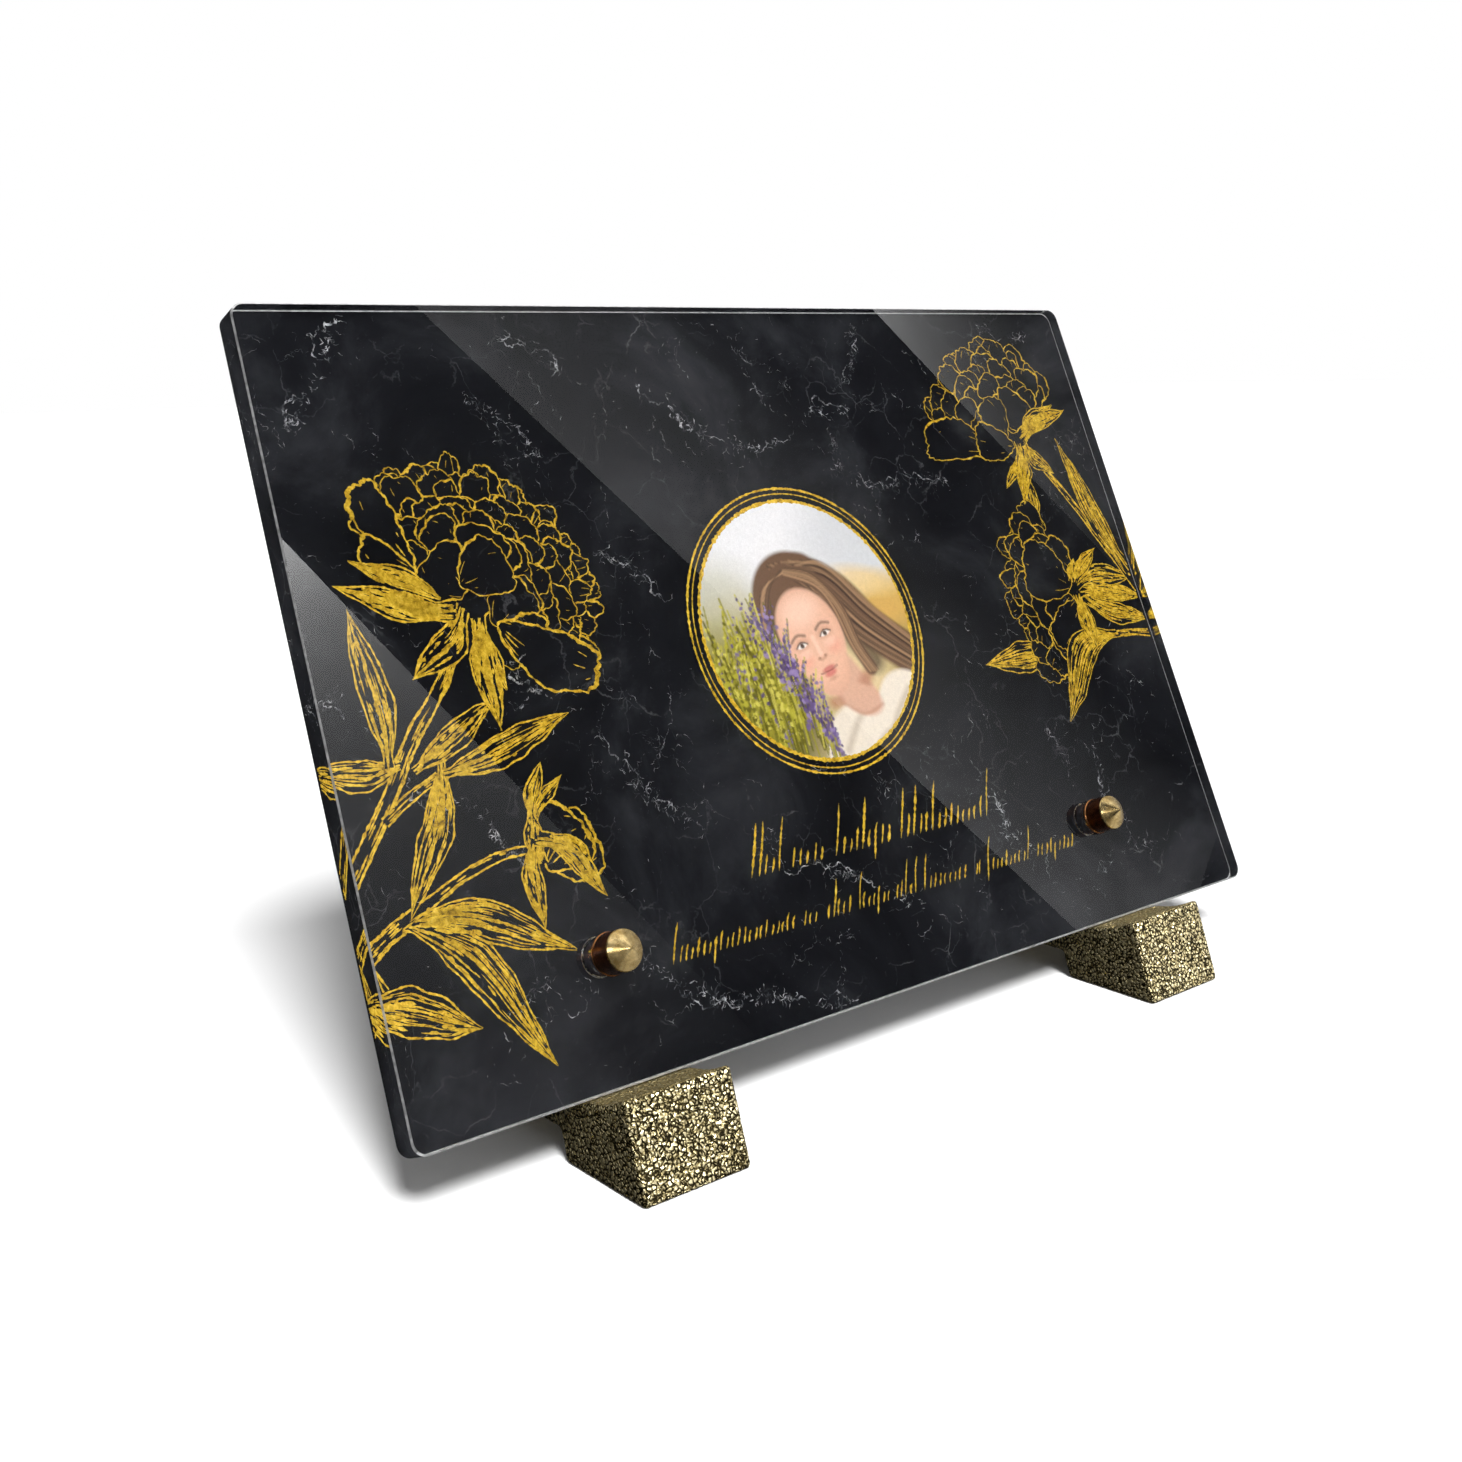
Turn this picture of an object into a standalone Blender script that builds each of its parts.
# Grave plaque: a clear plate printed on its back, leaning on two cast feet and held by two cap screws.
# Metres, +Z up. X runs along the plate, the front looks towards -Y, and the feet stand on Z = 0.
# The origin is the middle of the underside of the whole object's box.

import math

import bmesh
import bpy
from mathutils import Matrix, Vector

# Gap left between pieces that touch.
GAP = 0.0003

# Plate
PLATE_WIDTH = 0.300
PLATE_HEIGHT = 0.200
PLATE_THICKNESS = 0.008
PLATE_CORNER_RADIUS = 0.0035
PLATE_ARRIS = 0.0004
PLATE_LEAN = math.radians(22.5)
PLATE_FRONT_EDGE_HEIGHT = 0.0178

# Feet, as a side profile that is FOOT_WIDTH wide
FOOT_FROM_PLATE_END = 0.0595
FOOT_WIDTH = 0.031
FOOT_EDGE_ROUND = 0.0010
TOE_FRONT = 0.0219
TOE_LENGTH = 0.0313
TOE_LEAN = math.radians(18.0)
ARCH_HEIGHT = 0.0073
HEEL_BACK = 0.0790
HEEL_LENGTH = 0.0240
HEEL_HEIGHT = 0.0105
LEDGE_SLOPE = 0.0007
LEDGE_HOLLOW = 0.0008
BACKREST_THICKNESS = 0.0095
BACKREST_ABOVE_SCREW = 0.0120
BRACE_BELOW_SCREW = 0.0065

# Cap screws: a drum with a flat cone on it, and a shank through the plate into the backrest
SCREW_HEIGHT = 0.0303
CAP_RADIUS = 0.0051
CAP_DRUM = 0.0069
CAP_CONE = 0.0034
CAP_RIM = 0.0003
CAP_RIM_HEIGHT = 0.0006
SHANK_RADIUS = 0.0044
BORE_CLEARANCE = 0.0003
SHANK_RECESS = 0.0010

ROUND_SIDES = 48
SHARP_ANGLE = math.radians(35)
CORNER_STEPS = 6
MERGE = 0.00001


# Frames. A side point (depth, height) has depth backwards from the plate's bottom front edge, and height
# above the ground. A plate point (along, out) has its distance up the front face, and out of that face.

def side_from_plate(along, out):
    depth = along * math.sin(PLATE_LEAN) - out * math.cos(PLATE_LEAN)
    height = PLATE_FRONT_EDGE_HEIGHT + along * math.cos(PLATE_LEAN) + out * math.sin(PLATE_LEAN)
    return Vector((depth, height))


def box_middle_depth():
    plate_top_back = side_from_plate(PLATE_HEIGHT, -PLATE_THICKNESS).x
    object_back = max(plate_top_back, HEEL_BACK)
    return (object_back - TOE_FRONT) / 2


def plate_matrix():
    """Places local X across the plate, local Y up its front face and local Z out of it."""
    turn = Matrix.Rotation(math.pi / 2 - PLATE_LEAN, 4, "X")
    place = Matrix.Translation((0, -box_middle_depth(), PLATE_FRONT_EDGE_HEIGHT))
    return place @ turn


def foot_matrix(centre_x):
    return Matrix.Translation((centre_x, -box_middle_depth(), 0))


# Helpers

def clear_scene():
    for item in list(bpy.data.objects):
        bpy.data.objects.remove(item, do_unlink=True)


def make_collection(name):
    collection = bpy.data.collections.new(name)
    bpy.context.scene.collection.children.link(collection)
    return collection


def make_material(name, colour, roughness, metallic=0.0, transmission=0.0, ior=1.45):
    material = bpy.data.materials.new(name)
    material.use_nodes = True
    shader = material.node_tree.nodes["Principled BSDF"]
    shader.inputs["Base Color"].default_value = (*colour, 1.0)
    shader.inputs["Roughness"].default_value = roughness
    shader.inputs["Metallic"].default_value = metallic
    shader.inputs["Transmission Weight"].default_value = transmission
    shader.inputs["IOR"].default_value = ior
    return material


def make_object(name, mesh, collection, matrix, parent=None, material=None):
    item = bpy.data.objects.new(name, mesh)
    collection.objects.link(item)
    item.parent = parent
    item.matrix_world = matrix
    if material is not None:
        mesh.materials.append(material)
    return item


def add_bevel(item, width, segments):
    bevel = item.modifiers.new("round edges", "BEVEL")
    bevel.width = width
    bevel.segments = segments
    bevel.limit_method = "ANGLE"
    bevel.angle_limit = math.radians(25)


def add_cut(item, cutter):
    cut = item.modifiers.new("cut " + cutter.name, "BOOLEAN")
    cut.operation = "DIFFERENCE"
    cut.solver = "EXACT"
    cut.object = cutter


def make_cutter(name, mesh, collection, matrix, parent):
    cutter = make_object(name, mesh, collection, matrix, parent)
    cutter.hide_render = True
    cutter.display_type = "WIRE"
    return cutter


def rod_mesh(name, radius, low, high):
    """A closed cylinder along local Z, from low to high."""
    mesh = bpy.data.meshes.new(name)
    build = bmesh.new()
    bmesh.ops.create_cone(
        build, cap_ends=True, segments=ROUND_SIDES, radius1=radius, radius2=radius, depth=high - low,
        matrix=Matrix.Translation((0, 0, (low + high) / 2)),
    )
    build.to_mesh(mesh)
    build.free()
    return mesh


def outline_solid(name, points, thickness):
    """A flat outline in local X and Y, given a thickness from local Z = 0 up."""
    mesh = bpy.data.meshes.new(name)
    build = bmesh.new()
    corners = [build.verts.new((x, y, 0)) for x, y in points]
    face = build.faces.new(corners)
    grown = bmesh.ops.extrude_face_region(build, geom=[face])
    top = [part for part in grown["geom"] if isinstance(part, bmesh.types.BMVert)]
    bmesh.ops.translate(build, verts=top, vec=(0, 0, thickness))
    bmesh.ops.recalc_face_normals(build, faces=build.faces)
    build.to_mesh(mesh)
    build.free()
    return mesh


def shade_round(item):
    """Makes the evaluated shape the object's own mesh, smooth on its round faces and crisp at its edges."""
    turned = item.evaluated_get(bpy.context.evaluated_depsgraph_get())
    mesh = bpy.data.meshes.new_from_object(turned)
    mesh.name = item.name
    item.modifiers.clear()
    item.data = mesh
    mesh.shade_smooth()
    mesh.set_sharp_from_angle(angle=SHARP_ANGLE)


# Plate

def rounded_rectangle(width, height, radius, steps):
    """Corners of a rectangle that stands on Y = 0, anticlockwise from the bottom right."""
    centres = [
        (width / 2 - radius, radius, -90), (width / 2 - radius, height - radius, 0),
        (radius - width / 2, height - radius, 90), (radius - width / 2, radius, 180),
    ]
    points = []
    for x, y, start in centres:
        for step in range(steps + 1):
            angle = math.radians(start + 90 * step / steps)
            points.append((x + radius * math.cos(angle), y + radius * math.sin(angle)))
    return points


def make_plate(parts, cutters, frame, screw_places, material):
    points = rounded_rectangle(PLATE_WIDTH, PLATE_HEIGHT, PLATE_CORNER_RADIUS, CORNER_STEPS)
    mesh = outline_solid("plate", points, PLATE_THICKNESS)
    mesh.transform(Matrix.Translation((0, 0, -PLATE_THICKNESS)))
    plate = make_object("plate", mesh, parts, plate_matrix(), frame, material)
    add_bevel(plate, PLATE_ARRIS, 1)
    for side, centre_x in screw_places.items():
        reach = 2 * PLATE_THICKNESS
        bore = rod_mesh(side + "_plate_bore", SHANK_RADIUS + BORE_CLEARANCE, -reach, reach)
        place = plate_matrix() @ Matrix.Translation((centre_x, SCREW_HEIGHT, 0))
        add_cut(plate, make_cutter(side + "_plate_bore", bore, cutters, place, frame))
    return plate


# Feet

def ledge_depth():
    """How far the ledge stands out of the plate's front face, where it meets the leaning toe face."""
    lip = -GAP - LEDGE_SLOPE
    slope = math.tan(TOE_LEAN)
    lip_height = PLATE_FRONT_EDGE_HEIGHT + lip * math.cos(PLATE_LEAN)
    room = TOE_FRONT + lip * math.sin(PLATE_LEAN) - lip_height * slope
    return room / (math.cos(PLATE_LEAN) + slope * math.sin(PLATE_LEAN))


def ledge_points(steps=6):
    """The ledge under the plate's edge: a shallow hollow that rises to the seat at the front face."""
    points = []
    for step in range(steps + 1):
        share = step / steps
        out = ledge_depth() * (1 - share)
        along = -GAP - LEDGE_SLOPE * (1 - share) - LEDGE_HOLLOW * math.sin(math.pi * share)
        points.append(side_from_plate(along, out))
    return points


def foot_profile():
    """Side outline of a foot, from the toe's bottom front corner up and round over the back."""
    toe_back = TOE_LENGTH - TOE_FRONT
    arch_lean = ARCH_HEIGHT * math.tan(TOE_LEAN)
    arch_front = Vector((toe_back + arch_lean, ARCH_HEIGHT))
    heel_front = HEEL_BACK - HEEL_LENGTH
    back_face = -PLATE_THICKNESS - GAP
    rest_back = back_face - BACKREST_THICKNESS
    rest_top = SCREW_HEIGHT + BACKREST_ABOVE_SCREW
    points = [Vector((-TOE_FRONT, 0))]
    points += ledge_points()
    points += [
        side_from_plate(-GAP, back_face),
        side_from_plate(rest_top, back_face),
        side_from_plate(rest_top, rest_back),
        side_from_plate(SCREW_HEIGHT - BRACE_BELOW_SCREW, rest_back),
        Vector((HEEL_BACK, HEEL_HEIGHT)),
        Vector((HEEL_BACK, 0)),
        Vector((heel_front, 0)),
        Vector((heel_front - arch_lean, ARCH_HEIGHT)),
        arch_front,
        Vector((toe_back, 0)),
    ]
    return points


def make_foot(side, centre_x, parts, cutters, frame, material):
    # The outline is drawn flat, then stood up across the foot's width.
    profile = [(point.x, point.y) for point in foot_profile()]
    mesh = outline_solid(side + "_foot", profile, FOOT_WIDTH)
    stand = Matrix(((0, 0, 1, -FOOT_WIDTH / 2), (1, 0, 0, 0), (0, 1, 0, 0), (0, 0, 0, 1)))
    mesh.transform(stand)
    foot = make_object(side + "_foot", mesh, parts, foot_matrix(centre_x), frame, material)
    add_bevel(foot, FOOT_EDGE_ROUND, 2)
    reach = PLATE_THICKNESS + GAP + BACKREST_THICKNESS
    bore = rod_mesh(side + "_foot_bore", SHANK_RADIUS + BORE_CLEARANCE, -2 * reach, 0)
    place = plate_matrix() @ Matrix.Translation((centre_x, SCREW_HEIGHT, 0))
    add_cut(foot, make_cutter(side + "_foot_bore", bore, cutters, place, frame))
    return foot


# Screws

def screw_profile():
    """Outer line of a cap screw, from the cone's tip to the shank's end, as (radius, out of the plate)."""
    shank_end = -(PLATE_THICKNESS + GAP + BACKREST_THICKNESS - SHANK_RECESS)
    return [
        (0, CAP_DRUM + CAP_CONE),
        (CAP_RADIUS, CAP_DRUM),
        (CAP_RADIUS, GAP + CAP_RIM_HEIGHT + CAP_RIM),
        (CAP_RADIUS + CAP_RIM, GAP + CAP_RIM_HEIGHT),
        (CAP_RADIUS + CAP_RIM, GAP),
        (SHANK_RADIUS, GAP),
        (SHANK_RADIUS, shank_end),
        (0, shank_end),
    ]


def make_screw(side, centre_x, parts, frame, material):
    mesh = bpy.data.meshes.new(side + "_screw")
    points = [(radius, 0, out) for radius, out in screw_profile()]
    mesh.from_pydata(points, [(i, i + 1) for i in range(len(points) - 1)], [])
    place = plate_matrix() @ Matrix.Translation((centre_x, SCREW_HEIGHT, 0))
    screw = make_object(side + "_screw", mesh, parts, place, frame, material)
    turn = screw.modifiers.new("turn", "SCREW")
    turn.axis = "Z"
    turn.steps = ROUND_SIDES
    turn.render_steps = ROUND_SIDES
    turn.use_merge_vertices = True
    turn.merge_threshold = MERGE
    shade_round(screw)
    return screw


def main():
    clear_scene()
    parts = make_collection("grave_plaque")
    cutters = make_collection("cutters")
    clear_plastic = make_material("clear printed plate", (0.02, 0.022, 0.03), 0.03, ior=1.49)
    bronze = make_material("cast bronze", (0.36, 0.29, 0.13), 0.45, metallic=1.0)
    brass = make_material("brass", (0.62, 0.46, 0.20), 0.25, metallic=1.0)
    frame = bpy.data.objects.new("plaque_frame", None)
    parts.objects.link(frame)
    foot_x = PLATE_WIDTH / 2 - FOOT_FROM_PLATE_END
    places = {"left": -foot_x, "right": foot_x}
    make_plate(parts, cutters, frame, places, clear_plastic)
    for side, centre_x in places.items():
        make_foot(side, centre_x, parts, cutters, frame, bronze)
        make_screw(side, centre_x, parts, frame, brass)


main()
